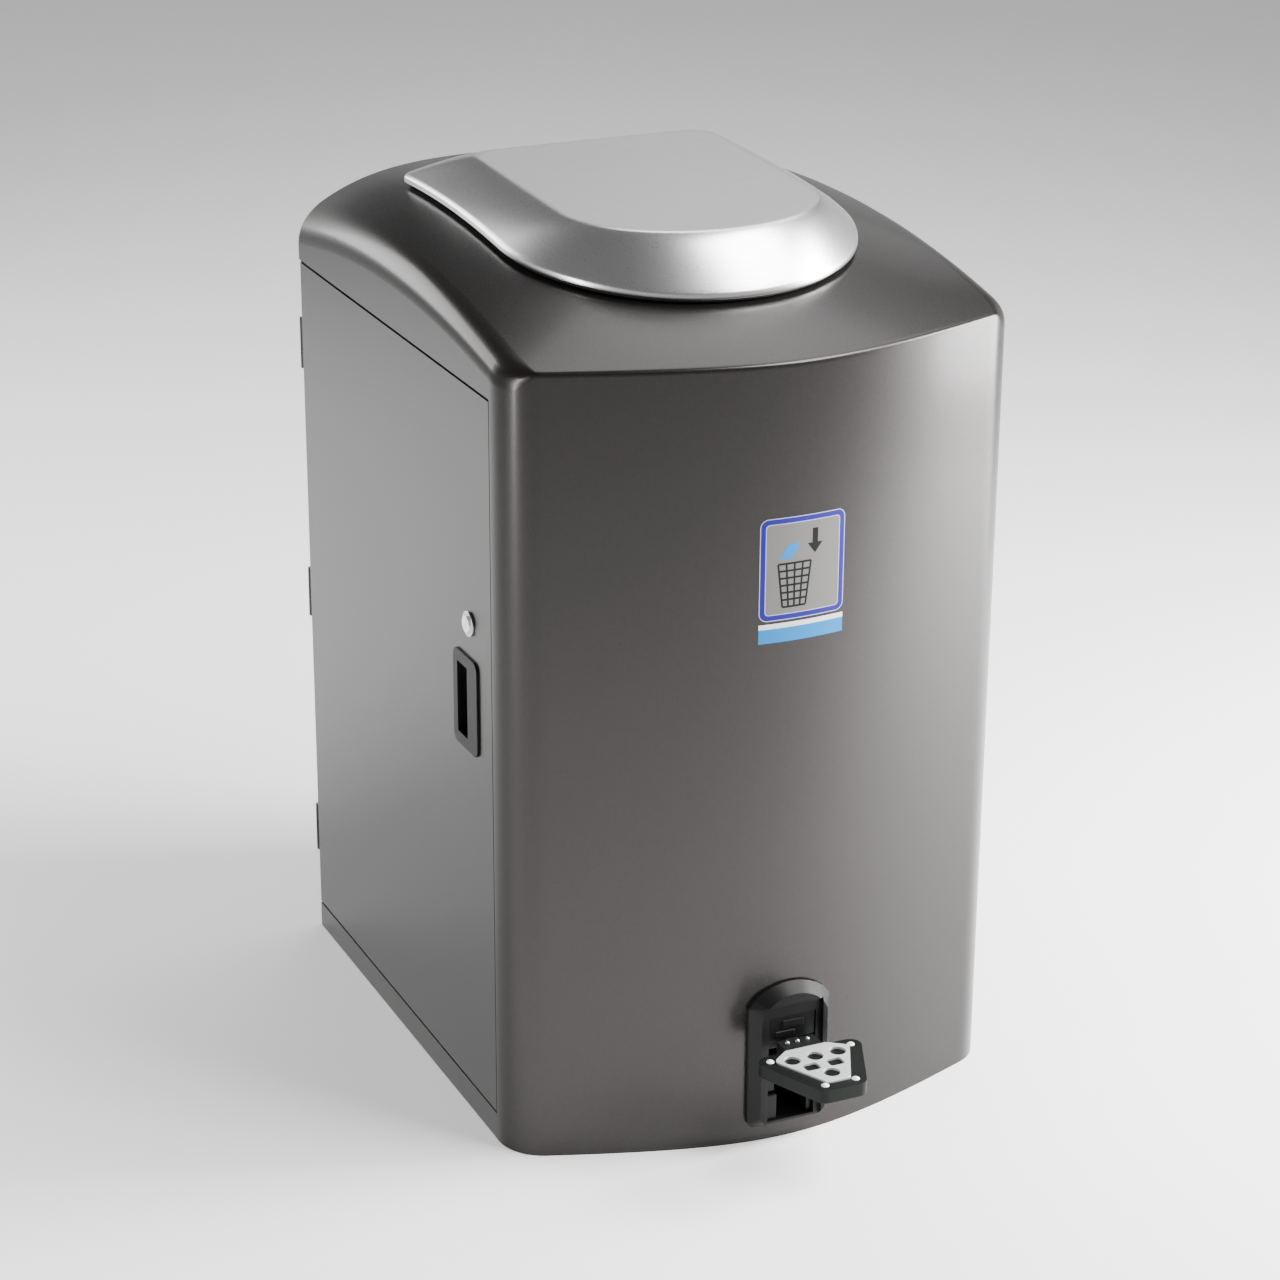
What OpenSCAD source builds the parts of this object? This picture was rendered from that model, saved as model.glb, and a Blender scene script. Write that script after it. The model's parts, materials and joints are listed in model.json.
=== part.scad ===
// Pedal-operated waste compactor: bowed steel cabinet, domed top with a hinged lid,
// locked side door, pull-out bin, and a swing press driven by a foot pedal.
// Front faces -Y, +Z is up, the origin is on the floor in the middle of the cabinet's rectangle.

/* [Cabinet] */
// Width of the cabinet
cabinet_w = 580; // [570:2:590]
// Depth from the line through the front corners to the rear face
cabinet_d = 610; // [606:2:630]
// How far the bowed front stands ahead of its corners
front_bow = 78; // [70:2:84]
// Height of the front edge of the top
front_edge_h = 880; // [876:2:900]
// Radius of the two front vertical corners
corner_r = 54; // [46:2:54]
// Height of the seam between cabinet and top cover
seam_h = 842; // [838:1:844]

/* [Top cover] */
// Extra height of the rear edge over the front edge at the sides
rear_rise = 6; // [0:1:10]
// Height of the arch seen from the side
side_arch = 32; // [26:1:34]
// Height of the crown across the rear edge
rear_crown = 59; // [54:1:62]

/* [Lid] */
// Half of the lid's width
lid_half_w = 200; // [194:1:204]
// Length of the rounded front of the lid
lid_nose = 196; // [190:1:202]
// Height of the lid's flat over the inlet
lid_rise = 41; // [38:1:44]

/* [Pedal] */
// Height of the pedal's tread at rest
pedal_h = 128; // [126:1:130]
// Travel of the pedal in degrees
pedal_swing = 9.8; // [8:0.2:9.8]

/* [Press] */
// Height of the press shaft
press_h = 540; // [536:1:544]
// Swing of the press plate in degrees
press_swing = 90; // [90:1:90]

/* [Hidden] */
$fn = 48;
eps = 0.01;
gap = 0.3;
sheet = 2;
cover_t = 3;
nose_a = 147;
half_w = cabinet_w / 2;
half_d = cabinet_d / 2;
nose_steps = 28;
corner_steps = 5;
return_w = 41;
seam_gap = 3;

// Front outline: a hyperbola-like bow with nearly straight flanks and rounded corners.
function bow(x) = sqrt(nose_a * nose_a + x * x) - nose_a;
function front_y(x) = -half_d - front_bow * (1 - bow(min(abs(x), half_w)) / bow(half_w));
function lean(x) = atan(front_bow * abs(x) / sqrt(nose_a * nose_a + x * x) / bow(half_w));
corner_lean = lean(half_w - corner_r / 2);
tangent_x = half_w - corner_r * (1 - sin(corner_lean));
corner_y = front_y(tangent_x) + corner_r * cos(corner_lean);
nose_y = front_y(0);
function nose_point(x, inset) =
    [x - sign(x) * inset * sin(lean(x)), front_y(x) + inset * cos(lean(x))];
function corner_point(angle, inset) =
    [(corner_r - half_w) + (corner_r - inset) * cos(angle), corner_y + (corner_r - inset) * sin(angle)];
function left_corner(inset) =
    [for (i = [0:corner_steps]) corner_point(180 + (90 - corner_lean) * i / corner_steps, inset)];
function right_corner(inset) =
    [for (i = [0:corner_steps]) let (p = left_corner(inset)[corner_steps - i]) [-p[0], p[1]]];
function front_line(inset) = concat(
    left_corner(inset),
    [for (i = [1:nose_steps - 1]) nose_point(tangent_x * (2 * i / nose_steps - 1), inset)],
    right_corner(inset));
function outline(inset, rear) = concat(
    [[inset - half_w, rear]], front_line(inset), [[half_w - inset, rear]]);

// Outline of a rounded convex shape: an arc of radius r round each centre, taken anticlockwise.
function heading(a, b) = atan2(b[1] - a[1], b[0] - a[0]);
function turn(a, b) = (b - a + 720) % 360;
function rounded(centres, r, steps = 6) = [
    for (i = [0:len(centres) - 1])
        let (n = len(centres), c = centres[i],
            a = heading(centres[(i + n - 1) % n], c) - 90, b = heading(c, centres[(i + 1) % n]) - 90)
        for (k = [0:steps]) let (t = a + turn(a, b) * k / steps) [c[0] + r * cos(t), c[1] + r * sin(t)]];
function box_centres(w, h, r) =
    [[r - w / 2, r - h / 2], [w / 2 - r, r - h / 2], [w / 2 - r, h / 2 - r], [r - w / 2, h / 2 - r]];

// Height of the top cover: a side arch plus a crown that grows towards the rear.
function depth_share(x, y) = max(0, (y - front_y(x)) / (half_d - front_y(x)));
function dome_z(x, y) = let (t = depth_share(x, y))
    front_edge_h + rear_rise * t + 4 * side_arch * t * (1 - t)
    + rear_crown * (1 - pow(abs(x) / half_w, 4)) * t;

// Closed shell or ring between loops of points: rows all have the same number of points.
function loop_faces(rows, n, skip = -1) = [
    for (r = [0:rows - 1]) if (r != skip) for (i = [0:n - 1])
        let (a = r * n + i, b = r * n + (i + 1) % n,
            c = ((r + 1) % rows) * n + (i + 1) % n, d = ((r + 1) % rows) * n + i)
        for (f = [[a, c, b], [a, d, c]]) f];
module ring(loops) {
    n = len(loops[0]);
    polyhedron([for (l = loops) for (p = l) p], loop_faces(len(loops), n), convexity = 6);
}

// D-shaped outline shared by the lid, its seal, the inlet and the collar.
lid_nose_y = -70;
lid_rear = 212;
lid_steps = 32;
side_steps = 6;
rear_steps = 12;
nose_index = side_steps + lid_steps / 2;
function d_outline(half, nose, nose_c, rear) = concat(
    [for (i = [0:side_steps - 1]) [-half, rear + (nose_c - rear) * i / side_steps]],
    [for (i = [0:lid_steps]) [-half * cos(180 * i / lid_steps), nose_c - nose * sin(180 * i / lid_steps)]],
    [for (i = [1:side_steps]) [half, nose_c + (rear - nose_c) * i / side_steps]],
    [for (i = [1:rear_steps - 1]) [half * (1 - 2 * i / rear_steps), rear]]);
function lid_outline(inset) =
    d_outline(lid_half_w - inset, lid_nose - inset, lid_nose_y, lid_rear - inset);
inlet_half = 172;
inlet_nose = 180;
inlet_rear = 185;
inlet_nose_y = -54;
function inlet_outline(inset) =
    d_outline(inlet_half - inset, inlet_nose - inset, inlet_nose_y, inlet_rear - inset);
function on_dome(points, up) = [for (p = points) [p[0], p[1], dome_z(p[0], p[1]) + up]];

// Lid surfaces: a rolled rim that follows the dome, a sloping flank and a tilted flat.
rim_gap = 5;
rim_h = 8;
lid_t = 1.5;
flat_half = 143;
flat_nose = 110;
flat_nose_y = -112;
flat_rear = 145;
flat_z = front_edge_h + 62 + lid_rise;
flat_tilt = 1.8;
function flat_height(y) = flat_z + tan(flat_tilt) * y;
function flat_outline(inset) =
    d_outline(flat_half - inset, flat_nose - inset, flat_nose_y, flat_rear - inset);
function lid_ring(share, inset, drop) = let (a = lid_outline(inset), b = flat_outline(inset)) [
    for (i = [0:len(a) - 1])
        let (low = dome_z(a[i][0], a[i][1]) + rim_gap + rim_h, high = flat_height(b[i][1]),
            p = a[i] + (b[i] - a[i]) * share)
        [p[0], p[1], low + (high - low) * (1 - pow(1 - share, 1.25)) - drop]];

// ---------- cabinet ----------

pan_wall = 30;
anchor_spacing = 400;
anchor_r = 5.5;
anchor_y = 60;
module base_pan() {
    color("dimgray") difference() {
        linear_extrude(pan_wall) polygon(outline(sheet + gap, half_d - sheet - gap));
        translate([0, 0, sheet])
            linear_extrude(pan_wall) polygon(outline(2 * sheet + gap, half_d - 2 * sheet - gap));
        for (x = [-1, 1]) for (y = [-1, 1])
            translate([x * anchor_spacing / 2, anchor_y + y * anchor_spacing / 2, -1])
                cylinder(r = anchor_r, h = sheet + 2);
        translate([-pedal_slot_w / 2, nose_y - 5, 26]) cube([pedal_slot_w, 40, pan_wall]);
    }
}

door_front = -half_d + return_w + 1.5;
module door_sill() {
    color("#6f6a67") {
        translate([-half_w, door_front - 1.5, 0])
            cube([sheet, half_d - door_front - sheet + 1.2, 31]);
    }
}

pedal_slot_w = 60;
slot_low = 26;
slot_high = 157;
module front_panel() {
    color("#6f6a67") difference() {
        linear_extrude(seam_h - eps) polygon(outline(0, -half_d + return_w));
        translate([0, 0, -1])
            linear_extrude(seam_h + 2) polygon(outline(sheet, -half_d + return_w + 1));
        translate([-pedal_slot_w / 2, nose_y - 5, slot_low])
            cube([pedal_slot_w, 40, slot_high - slot_low]);
    }
}

module right_side_panel() {
    color("#6f6a67")
        translate([half_w - sheet, -half_d + return_w + 1.5, 0])
            cube([sheet, cabinet_d - return_w - sheet - 1.8, seam_h - eps]);
}

hinge_z = [130, 436, 742];
leaf_h = 60;
vent_rows = 8;
vent_x = 110;
vent_w = 100;
vent_h = 5;
vent_low = 640;
vent_pitch = 14;
module rear_panel() {
    color("#6f6a67") difference() {
        translate([sheet - half_w, half_d - sheet, 0]) cube([cabinet_w - sheet, sheet, seam_h - eps]);
        for (z = hinge_z)
            translate([-half_w, half_d - 2 * sheet, z - leaf_h / 2 - 2]) cube([26, 3 * sheet, leaf_h + 4]);
        for (i = [0:vent_rows - 1]) for (x = [-1, 1])
            translate([x * vent_x - vent_w / 2, half_d - 2 * sheet, vent_low + i * vent_pitch])
                cube([vent_w, 3 * sheet, vent_h]);
    }
}

post_t = 3;
post_h = 812;
post_leg = 32;
module post(x, y, dx, dy) {
    translate([min(x, x + dx * post_leg), min(y, y + dy * post_t), sheet + gap])
        cube([post_leg, post_t, post_h]);
    translate([min(x + dx * (post_leg - post_t), x + dx * post_leg), min(y, y + dy * post_leg), sheet + gap])
        cube([post_t, post_leg, post_h]);
}
pan_inside = 2 * sheet + 2 * gap;
front_post_y = -half_d + return_w - 5;
module front_posts() {
    color("gray") {
        post(-half_w + pan_inside, front_post_y, 1, 1);
        post(half_w - pan_inside, front_post_y, -1, 1);
    }
}

jamb_x = half_w - 28;
module rear_post(side) {
    far = side * jamb_x;
    rear = half_d - pan_inside;
    translate([min(far, far - side * post_leg), rear - post_t, sheet + gap])
        cube([post_leg, post_t, post_h]);
    translate([min(far, far - side * post_t), rear - post_leg, sheet + gap])
        cube([post_t, post_leg, post_h]);
}
module rear_posts() {
    color("gray") {
        rear_post(-1);
        rear_post(1);
    }
}

frame_low = post_h + sheet + 2 * gap;
frame_tube = 20;
frame_inset = sheet + cover_t + 2 * gap;
frame_wide = 30;
module upper_frame() {
    color("gray") difference() {
        translate([0, 0, frame_low])
            linear_extrude(frame_tube) polygon(outline(frame_inset, half_d - sheet - cover_t));
        intersection() {
            translate([0, 0, frame_low - 1])
                linear_extrude(frame_tube + 2) polygon(outline(frame_wide, half_d - frame_wide));
            translate([frame_tube - jamb_x, -cabinet_d, 0]) cube([cabinet_w, 2 * cabinet_d, seam_h]);
        }
        translate([-half_w, door_front - 1.5, frame_low - 1])
            cube([half_w - jamb_x, cabinet_d, frame_tube + 2]);
    }
}

// ---------- top cover ----------

cover_rows = 14;
function cover_columns(inset) = front_line(inset);
function cover_point(c, v, inset, drop) =
    let (y = c[1] + (half_d - inset - c[1]) * v) [c[0], y, dome_z(c[0], y) - drop];
module top_cover() {
    outer = cover_columns(0);
    inner = cover_columns(cover_t);
    n = len(outer);
    rows = cover_rows + 1;
    grid = n * rows;
    points = concat(
        [for (j = [0:cover_rows]) for (c = outer) cover_point(c, j / cover_rows, 0, 0)],
        [for (j = [0:cover_rows]) for (c = inner) cover_point(c, j / cover_rows, cover_t, cover_t)],
        [for (c = outer) [c[0], c[1], seam_h]],
        [for (c = inner) [c[0], c[1], seam_h]],
        [[-half_w, half_d, seam_h], [half_w, half_d, seam_h]],
        [[cover_t - half_w, half_d - cover_t, seam_h], [half_w - cover_t, half_d - cover_t, seam_h]]);
    skirt_out = 2 * grid;
    skirt_in = skirt_out + n;
    rear_out = skirt_in + n;
    rear_in = rear_out + 2;
    last = cover_rows * n;
    faces = concat(
        [for (j = [0:cover_rows - 1]) for (i = [0:n - 2]) let (a = j * n + i)
            for (f = [[a, a + n, a + 1], [a + 1, a + n, a + n + 1]]) f],
        [for (j = [0:cover_rows - 1]) for (i = [0:n - 2]) let (a = grid + j * n + i)
            for (f = [[a, a + 1, a + n], [a + 1, a + n + 1, a + n]]) f],
        [for (i = [0:n - 2]) for (f = [
            [i, i + 1, skirt_out + i + 1], [i, skirt_out + i + 1, skirt_out + i],
            [grid + i, skirt_in + i + 1, grid + i + 1], [grid + i, skirt_in + i, skirt_in + i + 1],
            [skirt_out + i, skirt_out + i + 1, skirt_in + i + 1],
            [skirt_out + i, skirt_in + i + 1, skirt_in + i]]) f],
        [concat([for (j = [0:cover_rows]) j * n], [rear_out, skirt_out])],
        [concat([for (j = [cover_rows:-1:0]) j * n + n - 1], [skirt_out + n - 1, rear_out + 1])],
        [concat([for (j = [cover_rows:-1:0]) grid + j * n], [skirt_in, rear_in])],
        [concat([for (j = [0:cover_rows]) grid + j * n + n - 1], [rear_in + 1, skirt_in + n - 1])],
        [concat([for (i = [0:n - 1]) last + i], [rear_out + 1, rear_out])],
        [concat([for (i = [n - 1:-1:0]) grid + last + i], [rear_in, rear_in + 1])],
        [[skirt_out, skirt_in, rear_in, rear_out],
            [rear_out, rear_in, rear_in + 1, rear_out + 1],
            [rear_out + 1, rear_in + 1, skirt_in + n - 1, skirt_out + n - 1]]);
    color("#6f6a67") difference() {
        polyhedron(points, faces, convexity = 8);
        translate([0, 0, front_edge_h - 20]) linear_extrude(150) polygon(inlet_outline(0));
    }
}

collar_h = 22;
collar_t = 2.5;
module inlet_collar() {
    color("#202020") ring([
        on_dome(inlet_outline(gap), 1.5), on_dome(inlet_outline(gap), -collar_h),
        on_dome(inlet_outline(gap + collar_t), -collar_h), on_dome(inlet_outline(gap + collar_t), 1.5)]);
}

// ---------- lid ----------

lid_shares = [0, 0.2, 0.45, 0.7, 0.88, 1];
module lid_shell() {
    count = len(lid_shares);
    low = on_dome(lid_outline(0), rim_gap);
    loops = concat([low], [for (s = lid_shares) lid_ring(s, 0, 0)],
        [for (i = [count - 1:-1:0]) lid_ring(lid_shares[i], lid_t, lid_t)],
        [[for (p = lid_outline(lid_t)) [p[0], p[1], dome_z(p[0], p[1]) + rim_gap]]]);
    n = len(low);
    faces = concat(
        loop_faces(len(loops), n, count),
        [[for (i = [0:n - 1]) count * n + (nose_index + n - i) % n],
            [for (i = [0:n - 1]) (count + 1) * n + (nose_index + i) % n]]);
    color("silver") polyhedron([for (l = loops) for (p = l) p], faces, convexity = 6);
}

pan_depth_lid = 14;
pan_wall_lid = 2;
module lid_inner_pan() {
    color("#303030")
        translate([0, 0, flat_z - lid_t - pan_depth_lid - gap]) rotate([flat_tilt, 0, 0]) difference() {
            linear_extrude(pan_depth_lid) polygon(flat_outline(3));
            translate([0, 0, pan_wall_lid]) linear_extrude(pan_depth_lid) polygon(flat_outline(3 + pan_wall_lid));
        }
}

module lid_seal() {
    color("#151515") ring([
        on_dome(lid_outline(4), rim_gap - 0.2), on_dome(lid_outline(4), 0.8),
        on_dome(lid_outline(12), 0.8), on_dome(lid_outline(12), rim_gap + 4)]);
}

hinge_x = 112;
hinge_w = 30;
lid_axis_y = 220;
lid_axis_z = 956.5;
knuckle_r = 4.2;
hinge_pin_r = 2;
hinge_foot = 14;
module lid_hinge_bracket(x) {
    seat = dome_z(x, lid_axis_y + 6);
    roll = atan((dome_z(x - 10, lid_axis_y) - dome_z(x + 10, lid_axis_y)) / 20);
    pitch = atan((dome_z(x, lid_axis_y + 10) - dome_z(x, lid_axis_y - 10)) / 20);
    difference() {
        union() {
            translate([x, lid_axis_y + 6, seat + 0.4]) rotate([pitch, roll, 0])
                translate([-hinge_w / 2, 0, 0]) cube([hinge_w, hinge_foot, 2]);
            for (s = [-1, 1]) translate([x + s * (hinge_w / 2 - 2.5) - 2.5, lid_axis_y - 4, seat + 1])
                cube([5, 12, lid_axis_z - seat - 1]);
            for (s = [-1, 1]) translate([x + s * (hinge_w / 2 - 2.5) - 2.5, lid_axis_y, lid_axis_z])
                rotate([0, 90, 0]) cylinder(r = knuckle_r, h = 5);
        }
        translate([x - hinge_w, lid_axis_y, lid_axis_z]) rotate([0, 90, 0])
            cylinder(r = hinge_pin_r, h = 2 * hinge_w);
    }
}
module lid_hinge_brackets() {
    color("#2b2b2b") for (x = [-hinge_x, hinge_x]) lid_hinge_bracket(x);
}
module lid_hinge_arm(x) {
    difference() {
        union() {
            translate([x - 9.5, lid_axis_y, lid_axis_z]) rotate([0, 90, 0]) cylinder(r = knuckle_r, h = 19);
            translate([x - 9.5, lid_rear + 1.5, lid_axis_z - 1]) cube([19, lid_axis_y - lid_rear - 1.5, 4]);
            translate([x - 9.5, lid_rear + 0.2, lid_axis_z - 1]) cube([19, 2.5, 7]);
        }
        translate([x - hinge_w, lid_axis_y, lid_axis_z]) rotate([0, 90, 0])
            cylinder(r = hinge_pin_r + 0.05, h = 2 * hinge_w);
    }
}
module lid_hinge_arms() {
    color("silver") for (x = [-hinge_x, hinge_x]) lid_hinge_arm(x);
}
module lid_hinge_pins() {
    color("gainsboro") for (x = [-hinge_x, hinge_x])
        translate([x - hinge_w / 2, lid_axis_y, lid_axis_z]) rotate([0, 90, 0])
            cylinder(r = hinge_pin_r, h = hinge_w);
}

// ---------- side door ----------

door_low = 34;
door_high = seam_h - seam_gap;
door_rear = half_d - 3.5;
pan_depth = 23;
lock_y = -half_d + 101;
lock_z = 581;
lock_r = 13;
barrel_r = 9.5;
cam_x = -half_w + pan_inside + post_leg + 0.8;
cam_t = 2.5;
cam_len = 38;
handle_y = -half_d + 111;
handle_z = 489;
handle_w = 66;
handle_h = 107;
cup_w = 50;
cup_h = 90;
window_front = 6;
window_rear = 21;
module door_cutouts() {
    translate([-half_w - 5, lock_y, lock_z]) rotate([0, 90, 0]) cylinder(r = barrel_r + gap, h = 40);
    translate([-half_w - 5, handle_y - cup_w / 2 - gap, handle_z - cup_h / 2 - gap])
        cube([27, cup_w + 2 * gap, cup_h + 2 * gap]);
}
module door_panel() {
    color("#7d7875") difference() {
        translate([-half_w, door_front, door_low]) cube([sheet, door_rear - door_front, door_high - door_low]);
        door_cutouts();
    }
}
module door_inner_pan() {
    color("gray") difference() {
        translate([-half_w + sheet, door_front + 1, door_low + 1])
            cube([pan_depth, door_rear - door_front - 1, door_high - door_low - 2]);
        translate([-half_w + sheet - 1, door_front + 3, door_low + 3])
            cube([pan_depth - 1, door_rear - door_front - 5, door_high - door_low - 6]);
        door_cutouts();
    }
}

door_axis_x = -half_w + 4;
door_axis_y = half_d + 4.5;
leaf_pin_r = 2;
module door_hinge_leaf(z) {
    difference() {
        union() {
            translate([door_axis_x, door_rear + 0.1, z - leaf_h / 2 + 1]) cube([20, 1.6, leaf_h - 2]);
            translate([door_axis_x - 1, door_rear + 0.1, z - 9.5]) cube([2, door_axis_y - door_rear, 19]);
            translate([door_axis_x, door_axis_y, z - 9.5]) cylinder(r = 4, h = 19);
        }
        translate([door_axis_x, door_axis_y, z - leaf_h]) cylinder(r = leaf_pin_r + 0.05, h = 2 * leaf_h);
    }
}
module door_hinge_leaves() {
    color("silver") for (z = hinge_z) door_hinge_leaf(z);
}
module cabinet_hinge_leaf(z) {
    difference() {
        union() {
            translate([door_axis_x, half_d + 0.3, z - leaf_h / 2]) cube([48, 2, leaf_h]);
            for (s = [-1, 1]) translate([door_axis_x, door_axis_y, z + s * 20 - 10]) cylinder(r = 4, h = 20);
        }
        translate([door_axis_x, door_axis_y, z - leaf_h]) cylinder(r = leaf_pin_r, h = 2 * leaf_h);
        translate([door_axis_x, door_axis_y, z - 10]) cylinder(r = 5, h = 20);
    }
}
module cabinet_hinge_leaves() {
    color("silver") for (z = hinge_z) cabinet_hinge_leaf(z);
}
module door_hinge_pins() {
    color("gainsboro") for (z = hinge_z) translate([door_axis_x, door_axis_y, z - leaf_h / 2])
        cylinder(r = leaf_pin_r, h = leaf_h);
}

module side_plate(points, x, t) {
    translate([x, 0, 0]) rotate([90, 0, 90]) linear_extrude(t) polygon(points);
}
module door_handle() {
    bezel_r = 10;
    color("#1c1c1c") difference() {
        union() {
            translate([-half_w - 2.5, handle_y, handle_z])
                side_plate(rounded(box_centres(handle_w, handle_h, bezel_r), bezel_r), 0, 2.4);
            translate([-half_w - 1, handle_y - cup_w / 2, handle_z - cup_h / 2]) cube([21, cup_w, cup_h]);
        }
        translate([-half_w - 5, handle_y - window_front, handle_z - cup_h / 2 + 5])
            cube([12, window_front + window_rear, cup_h - 10]);
        translate([-half_w + 1, handle_y - cup_w / 2 + 3, handle_z - cup_h / 2 + 3])
            cube([16, cup_w - 6, cup_h - 6]);
    }
}

module lock_escutcheon() {
    color("gainsboro") difference() {
        translate([-half_w - 2.6, lock_y, lock_z]) rotate([0, 90, 0]) cylinder(r = lock_r + 1, h = 2.5);
        translate([-half_w - 5, lock_y, lock_z]) rotate([0, 90, 0]) cylinder(r = barrel_r + 0.05, h = 10);
    }
}
module lock_barrel() {
    color("whitesmoke") difference() {
        translate([-half_w - 5, lock_y, lock_z]) rotate([0, 90, 0]) cylinder(r = barrel_r, h = cam_x + half_w + 5);
        translate([-half_w - 6, lock_y - 0.8, lock_z - 5]) cube([5, 1.6, 10]);
    }
}
module lock_cam() {
    color("silver") translate([cam_x, lock_y, lock_z]) rotate([0, 90, 0])
        linear_extrude(cam_t) polygon(rounded([[0, 0], [cam_len, 0]], 7, 12));
}

// ---------- pedal and surround ----------

surround_half = 48.5;
surround_low = 20;
surround_side = 168;
surround_top = 190;
surround_out = 17;
function arch_outline(inset) =
    let (w = surround_half - inset, low = surround_low + inset, r = 11, side = surround_side - inset,
        sag = surround_top - surround_side, arc_r = (w * w + sag * sag) / (2 * sag))
    concat(
        [for (k = [0:5]) [-w + r - r * cos(18 * k), low + r - r * sin(18 * k)]],
        [for (k = [5:-1:0]) [w - r + r * cos(18 * k), low + r - r * sin(18 * k)]],
        [for (k = [0:12]) let (x = w * (1 - k / 6))
            [x, side + sqrt(arc_r * arc_r - x * x) - (arc_r - sag) - (abs(x) > w - 1 ? 3 : 0)]]);
module upright(points, y, depth) {
    translate([0, y + depth, 0]) rotate([90, 0, 0]) linear_extrude(depth) polygon(points);
}
opening_half = 28;
opening_low = 28;
opening_high = 153;
tunnel_y = nose_y + 34;
module pedal_surround() {
    color("#262a28") difference() {
        union() {
            hull() {
                upright(arch_outline(0), nose_y - 3, 8);
                upright(arch_outline(9), nose_y - surround_out, 2);
            }
            translate([-opening_half - 1.7, nose_y - 5, opening_low - 1.7])
                cube([2 * opening_half + 3.4, tunnel_y - nose_y + 5, opening_high - opening_low + 3.4]);
        }
        difference() {
            translate([0, 0, -1]) linear_extrude(seam_h) polygon(outline(-gap, -half_d + return_w));
            translate([-opening_half - 2, nose_y - 20, opening_low - 2])
                cube([2 * opening_half + 4, 80, opening_high - opening_low + 4]);
        }
        translate([-opening_half, nose_y - 40, opening_low])
            cube([2 * opening_half, 90, opening_high - opening_low]);
        translate([-opening_half - 6, nose_y - surround_out - 1, opening_low - 4])
            cube([2 * opening_half + 12, 7, opening_high - opening_low + 20]);
    }
}

pivot_y = 35;
pivot_z = 70;
pivot_r = 8;
lever_half = 8;
rod_y = 283.6;
rod_drop = (rod_y - pivot_y) * tan(pedal_swing / 2);
rod_low_z = pivot_z - rod_drop;
link_pin_r = 4;
tread_rear = nose_y - 54;
lever_tip = tread_rear - 48;
lever_neck = tread_rear + 39;
lever_bend = nose_y + 23;
base_t = 15;
lever_top = pedal_h - base_t - 0.2;
lever_points = [
    [lever_tip, lever_top - 9], [lever_tip + 15, lever_top - 13], [lever_neck, lever_top - 9],
    [lever_bend, lever_top - 10], [pivot_y, pivot_z - 14], [rod_y, rod_low_z - 8],
    [rod_y, rod_low_z + 8], [pivot_y, pivot_z + 14], [lever_bend, lever_top + 9],
    [lever_neck, lever_top + 11], [lever_neck - 2, lever_top], [lever_tip, lever_top]];
module pedal_lever() {
    color("#3a3a3a") difference() {
        union() {
            side_plate(lever_points, -lever_half, 2 * lever_half);
            translate([-14, pivot_y, pivot_z]) rotate([0, 90, 0]) cylinder(r = 19, h = 28);
            translate([-lever_half, rod_y, rod_low_z]) rotate([0, 90, 0])
                cylinder(r = 11, h = 2 * lever_half);
        }
        translate([-30, pivot_y, pivot_z]) rotate([0, 90, 0]) cylinder(r = pivot_r + 3, h = 60);
        translate([-30, rod_y, rod_low_z]) rotate([0, 90, 0]) cylinder(r = link_pin_r, h = 60);
        translate([-3.4, rod_y - 30, rod_low_z - 30]) cube([6.8, 60, 60]);
    }
}
module pedal_bush() {
    color("goldenrod") translate([-14, pivot_y, pivot_z]) rotate([0, 90, 0]) difference() {
        cylinder(r = pivot_r + 3, h = 28);
        translate([0, 0, -1]) cylinder(r = pivot_r + 0.05, h = 30);
    }
}
module pedal_pivot_pin() {
    color("silver") translate([-30, pivot_y, pivot_z]) rotate([0, 90, 0]) cylinder(r = pivot_r, h = 60);
}
module pedal_pivot_brackets() {
    color("gray") for (s = [-1, 1]) difference() {
        union() {
            side_plate([[pivot_y - 32, sheet + gap], [pivot_y + 32, sheet + gap],
                [pivot_y + 15, pivot_z + 14], [pivot_y - 15, pivot_z + 14]], s * 20 - 3, 6);
            translate([min(s * 20, s * 46), pivot_y - 32, sheet + gap]) cube([26, 64, 4]);
        }
        translate([-60, pivot_y, pivot_z]) rotate([0, 90, 0]) cylinder(r = pivot_r, h = 120);
    }
}

tread_len = 68;
rear_rivet_x = 48;
front_rivet_x = 18;
rivet_spots = [
    [-rear_rivet_x, tread_rear], [-front_rivet_x, tread_rear - tread_len],
    [front_rivet_x, tread_rear - tread_len], [rear_rivet_x, tread_rear]];
neck_w = 44;
neck_len = 36.5;
module pedal_base() {
    color("#1d211f") translate([0, 0, pedal_h - base_t]) difference() {
        union() {
            linear_extrude(base_t) polygon(rounded(rivet_spots, 12));
            translate([-neck_w / 2, tread_rear, 0]) cube([neck_w, neck_len, base_t]);
        }
        for (p = rivet_spots) translate([p[0], p[1], base_t - 6]) cylinder(r = 2.5, h = 7);
        translate([0, 0, base_t - 1.2]) linear_extrude(3) polygon(rounded(tread_corners, tread_r + 0.4));
    }
}
tread_r = 7;
tread_corners = [
    [-36, tread_rear - 5.5], [-9, tread_rear - 59], [9, tread_rear - 59], [36, tread_rear - 5.5],
    [22, tread_rear + 5], [-22, tread_rear + 5]];
tread_t = 3;
hole_r = 9;
module pedal_tread_plate() {
    color("whitesmoke") translate([0, 0, pedal_h - 1]) difference() {
        linear_extrude(tread_t) polygon(rounded(tread_corners, tread_r));
        for (x = [-27, 0, 27]) translate([x, tread_rear - 10, -1]) cylinder(r = hole_r, h = 6);
        for (x = [-14, 14]) translate([x, tread_rear - 29.5, -1])
            linear_extrude(6) polygon(rounded(box_centres(17, 15, 3), 3));
        translate([0, tread_rear - 48.5, -1]) cylinder(r = hole_r, h = 6);
    }
}
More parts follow.
